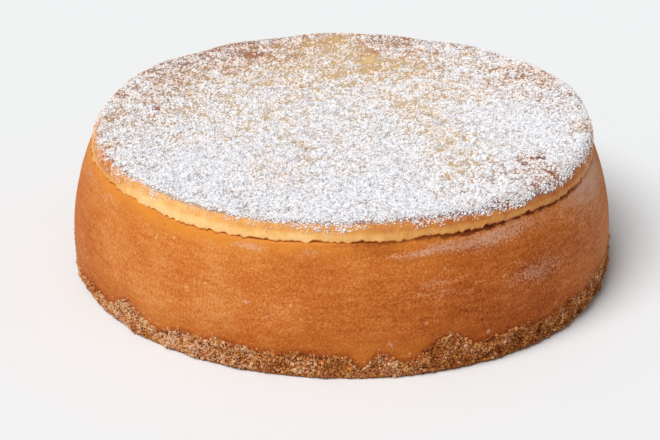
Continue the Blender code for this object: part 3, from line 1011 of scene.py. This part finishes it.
def sugar_places(count, power, lift, seed):
    """Places on the top, lifted off it by so many millimetres: drawn evenly over a disc, and kept with a
    chance that grows with a power of the sugar's thickness, in huddles and near the edge."""
    draw = np.random.default_rng(seed)
    tries = 8 * count
    reach = DRAWN_RADIUS * np.sqrt(draw.uniform(0.0, 1.0, tries))
    degrees = draw.uniform(0.0, 360.0, tries)
    rows = np.interp(reach, row_radii, row_numbers)
    columns = degrees * COLUMNS / 360.0
    found = between(crust_grid, rows, columns) + lift * between(crust_out, rows, columns)
    huddled = sugar_cover(found) * (1.0 + HUDDLE * lumps(found, 2.3, 37))
    steep = 1.0 + CLOSER_AT_EDGE * smoothstep(100.0, 105.5, reach)
    lucky = draw.uniform(0.0, 1.0, tries) < CHANCE * steep * huddled**power
    return found[lucky & (reach < LAST_RADIUS)][:count]


for name, shape, count, power, lift, least, most, seed in SUGAR_KINDS:
    places = sugar_places(count, power, lift, seed)
    sizes = least + (most - least) * np.random.default_rng(seed + 1).beta(1.5, 2.0, len(places))
    at_edge = smoothstep(99.0, 104.5, np.hypot(places[:, 0], places[:, 1]))
    sizes *= 1.0 - SMALLER_AT_EDGE * at_edge
    piece = scatter(name, shape, places, sizes, 0.32, sugar_finish, seed + 2, squash=SQUASH)
    keep(piece, "depth", np.repeat(sugar_cover(places), len(shape[0])))

# %% [markdown]
# ## Floor, light and camera
# The cake stands on a plain pale floor that runs out of view. A large soft lamp, high on the left in front,
# gives the side its bright left and shaded right, and a pale sky fills the shadows.

# %% The floor
FLOOR_HALF = 3000.0
FLOOR_GAP = 0.05
floor_finish, tree, place = new_finish("plain_pale_floor")
floor_noise = add_node(tree, "TexNoise", {"Vector": place, "Scale": 3.0, "Detail": 1.0})
floor_colour = ramp(floor_noise, (0.3, "#F0F2F3"), (0.7, "#F1F3F4"))
finish_with(tree, base_color=floor_colour, roughness=0.9, specular_ior_level=0.2)
floor_points = np.array(((-1, -1, 0), (1, -1, 0), (1, 1, 0), (-1, 1, 0))) * FLOOR_HALF
floor_points += (0.0, 0.0, (FLOOR_HEIGHT / UNIT) - FLOOR_GAP)
floor = add_piece("floor", floor_points, [(0, 1, 2, 3)], floor_finish)
floor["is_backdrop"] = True
print("floor:", round(2.0 * FLOOR_HALF * UNIT, 1), "m wide")

# %% The light
SKY_STRENGTH = 0.28
SUN_STRENGTH = 2.75
SUN_SPREAD = math.radians(35.0)
SUN_AZIMUTH = math.radians(224.0)
SUN_HEIGHT = math.radians(56.0)

sky = bpy.data.worlds.new("pale_sky")
sky.use_nodes = True
sky.node_tree.nodes["Background"].inputs["Color"].default_value = linear("#FFFFFF")
sky.node_tree.nodes["Background"].inputs["Strength"].default_value = SKY_STRENGTH
scene.world = sky
scene.view_settings.view_transform = "Standard"

sun = bpy.data.lights.new("soft_lamp", "SUN")
sun.energy = SUN_STRENGTH
sun.angle = SUN_SPREAD
sun_object = bpy.data.objects.new("soft_lamp", sun)
toward_sun = Vector((
    math.cos(SUN_AZIMUTH) * math.cos(SUN_HEIGHT),
    math.sin(SUN_AZIMUTH) * math.cos(SUN_HEIGHT),
    math.sin(SUN_HEIGHT),
))
sun_object.rotation_euler = toward_sun.to_track_quat("Z", "Y").to_euler()
scene.collection.objects.link(sun_object)
print("lamp over", [round(side, 2) for side in toward_sun])

# %% The camera
CAMERA_DISTANCE = 0.80
CAMERA_RISE = math.radians(26.39)
CAMERA_PITCH = math.radians(25.55)
CAMERA_YAW = math.radians(-0.415)
CAMERA_ROLL = math.radians(0.3)
LENS_LENGTH = 98.95
SENSOR_WIDTH = 36.0

forward = Vector((
    math.sin(CAMERA_YAW) * math.cos(CAMERA_PITCH),
    math.cos(CAMERA_YAW) * math.cos(CAMERA_PITCH),
    -math.sin(CAMERA_PITCH),
))
right = Vector((math.cos(CAMERA_YAW), -math.sin(CAMERA_YAW), 0.0))
up = right.cross(forward)
rolled_right = math.cos(CAMERA_ROLL) * right + math.sin(CAMERA_ROLL) * up
rolled_up = rolled_right.cross(forward)
lens = bpy.data.cameras.new("camera")
lens.lens = LENS_LENGTH
lens.sensor_width = SENSOR_WIDTH
camera = bpy.data.objects.new("camera", lens)
turn = Matrix((rolled_right, rolled_up, -forward)).transposed().to_4x4()
stand = Vector((0.0, -CAMERA_DISTANCE * math.cos(CAMERA_RISE), CAMERA_DISTANCE * math.sin(CAMERA_RISE)))
camera.matrix_world = Matrix.Translation(stand) @ turn
scene.collection.objects.link(camera)
scene.camera = camera
print("camera", round(stand.length, 2), "m from the middle of the underside")

# %% [markdown]
# ## The size, and the end
# The dressed cake must be as large as the measured model, so both boxes are put side by side in one table.

# %% Sizes
look_low, look_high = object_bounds()
sizes = {
    "model_low": list(MODEL_LOW),
    "model_high": list(MODEL_HIGH),
    "look_low": list(look_low),
    "look_high": list(look_high),
}
print("dressed size in mm:", [round(1000.0 * side, 1) for side in look_high - look_low])
